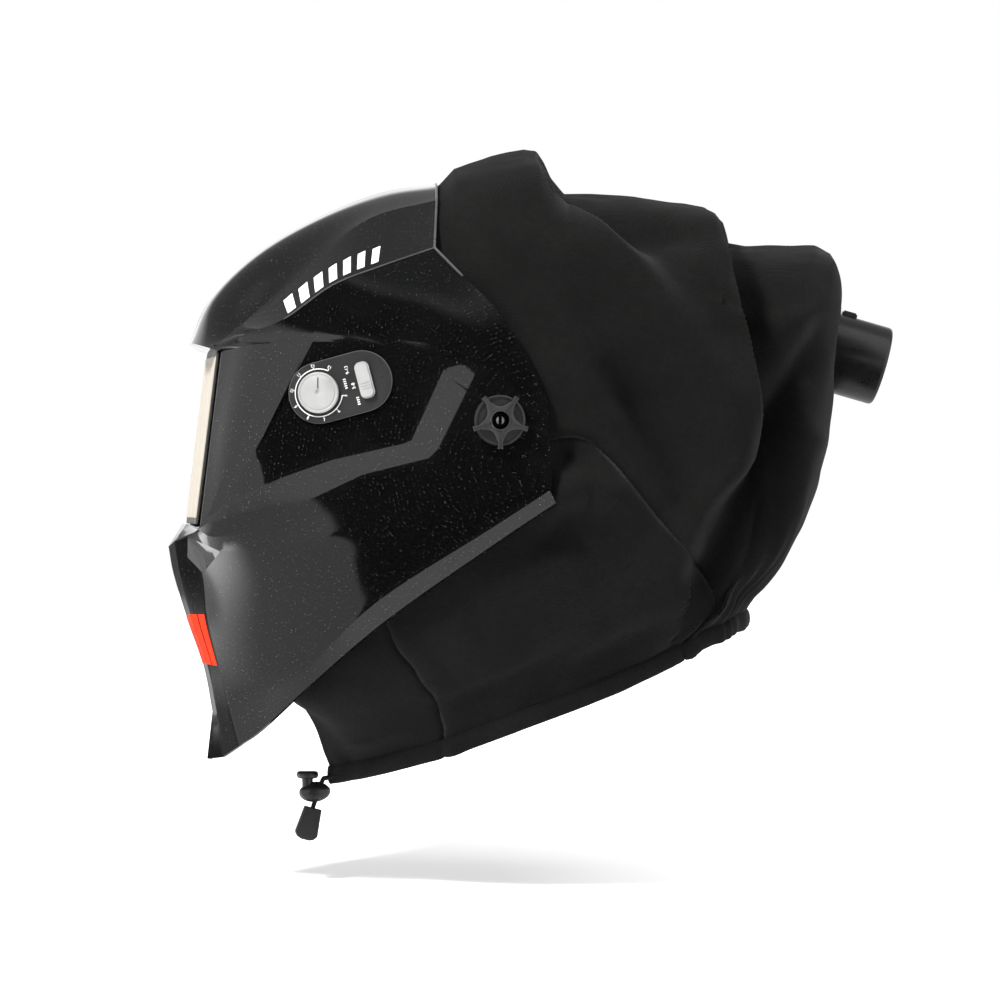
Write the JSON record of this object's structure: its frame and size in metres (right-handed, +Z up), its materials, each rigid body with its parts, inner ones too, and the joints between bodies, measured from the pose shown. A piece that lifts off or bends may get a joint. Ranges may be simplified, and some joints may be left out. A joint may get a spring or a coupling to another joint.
{
  "type": "air-fed welding helmet",
  "caption": "Flip-up welding visor on a head harness, with a fabric neck hood and an air inlet at the back that feeds a duct over the crown.",
  "frame": {"origin": "middle of the axis that the visor flips about, between the two pivot knobs", "axes": "+Z up; the face looks along -Y and the air inlet points along +Y; +X is the wearer's left"},
  "size_m": [0.2544, 0.4155, 0.3909],
  "materials": {
    "gloss_black": "gloss black with fine silver flake",
    "satin_black": "satin moulded",
    "soft_black": "matte moulded",
    "knob_plastic": "smoked, semi-gloss",
    "lens_gold": "gold-tinted reflective cover",
    "green_glass": "dark green filter glass",
    "solar_blue": "dark blue cell under glass",
    "clear_plastic": "clear polycarbonate",
    "dial_white": "satin light grey",
    "steel": "zinc plated",
    "foam": "towelling-covered foam",
    "fabric": "matte woven flame-resistant cotton",
    "cord_grey": "braided"
  },
  "bodies": {
    "headgear": {"pivot_bolt_left": "steel", "pivot_bolt_right": "steel", "pivot_arm_left": "satin_black", "pivot_arm_right": "satin_black", "stop_disc_left": "soft_black", "stop_disc_right": "soft_black", "headband": "satin_black", "sweatband": "foam", "rear_band": "satin_black", "rear_pad": "foam", "crown_strap": "satin_black", "rear_strap": "satin_black", "ratchet_housing": "satin_black", "crown_duct": "satin_black", "brow_nozzle": "satin_black", "rear_manifold": "satin_black", "inlet_spigot": "satin_black", "spigot_clamp": "steel", "hood_crown_panel": "fabric", "hood_neck_panel_left": "fabric", "hood_neck_panel_right": "fabric", "neck_hem": "fabric", "drawcord": "cord_grey"},
    "visor": {"visor_shell": "gloss_black", "lens_gasket": "soft_black", "front_cover_lens": "lens_gold", "filter_holder": "satin_black", "filter_cartridge": "satin_black", "filter_glass": "green_glass", "solar_cell": "solar_blue", "arc_sensor_left": "lens_gold", "arc_sensor_right": "lens_gold", "inner_cover_lens": "clear_plastic", "control_panel": "satin_black", "control_module": "satin_black", "control_cable": "soft_black", "throat_panel": "fabric", "drawcord_tail_left": "cord_grey", "drawcord_tail_right": "cord_grey", "cord_lock_body": "soft_black", "cord_lock_spring": "steel", "cord_end": "soft_black"},
    "holder_latch": {"holder_latch": "satin_black"},
    "battery_cap_left": {"battery_cap_left": "soft_black"},
    "battery_cap_right": {"battery_cap_right": "soft_black"},
    "shade_dial": {"shade_dial": "dial_white"},
    "mode_slider": {"mode_slider": "dial_white"},
    "pivot_knob_left": {"pivot_knob_left": "knob_plastic"},
    "pivot_knob_right": {"pivot_knob_right": "knob_plastic"},
    "ratchet_knob": {"ratchet_knob": "soft_black"},
    "cord_lock_button": {"cord_lock_button": "soft_black"}
  },
  "joints": [
    {"name": "visor_flip", "type": "hinge", "parent": "headgear", "child": "visor", "pos_m": [0, 0, 0], "axis": [-1, 0, 0], "range_deg": [0, 45], "deforming": ["hood_crown_panel", "hood_neck_panel_left", "hood_neck_panel_right", "throat_panel", "neck_hem", "drawcord"]},
    {"name": "knob_left_turn", "type": "hinge", "parent": "visor", "child": "pivot_knob_left", "pos_m": [0.1192, 0, 0], "axis": [1, 0, 0], "continuous": true},
    {"name": "knob_right_turn", "type": "hinge", "parent": "visor", "child": "pivot_knob_right", "pos_m": [-0.1192, 0, 0], "axis": [-1, 0, 0], "continuous": true},
    {"name": "shade_dial_turn", "type": "hinge", "parent": "visor", "child": "shade_dial", "pos_m": [0.08988, -0.0985, 0.0155], "axis": [0.9695, -0.2419, 0.0387], "range_deg": [0, 250]},
    {"name": "mode_slide", "type": "slide", "parent": "visor", "child": "mode_slider", "axis": [-0.0992, -0.2432, 0.9649], "range_m": [-0.0045, 0.0045]},
    {"name": "battery_cap_left_turn", "type": "hinge", "parent": "visor", "child": "battery_cap_left", "pos_m": [0.038, -0.15169, -0.04529], "axis": [0, 0.9924, -0.1227], "range_deg": [-60, 0]},
    {"name": "battery_cap_right_turn", "type": "hinge", "parent": "visor", "child": "battery_cap_right", "pos_m": [-0.038, -0.15169, -0.04529], "axis": [0, 0.9924, -0.1227], "range_deg": [-60, 0]},
    {"name": "latch_open", "type": "hinge", "parent": "visor", "child": "holder_latch", "pos_m": [0, -0.15035, 0.03807], "axis": [1, 0, 0], "range_deg": [0, 60]},
    {"name": "ratchet_knob_turn", "type": "hinge", "parent": "headgear", "child": "ratchet_knob", "pos_m": [0, 0.1129, 0.013], "axis": [0, 1, 0], "continuous": true},
    {"name": "cord_lock_press", "type": "slide", "parent": "visor", "child": "cord_lock_button", "axis": [0, 0, -1], "range_m": [0, 0.002], "stiffness_N_per_m": 150, "springref_m": -0.001, "deforming": ["cord_lock_spring"]}
  ]
}
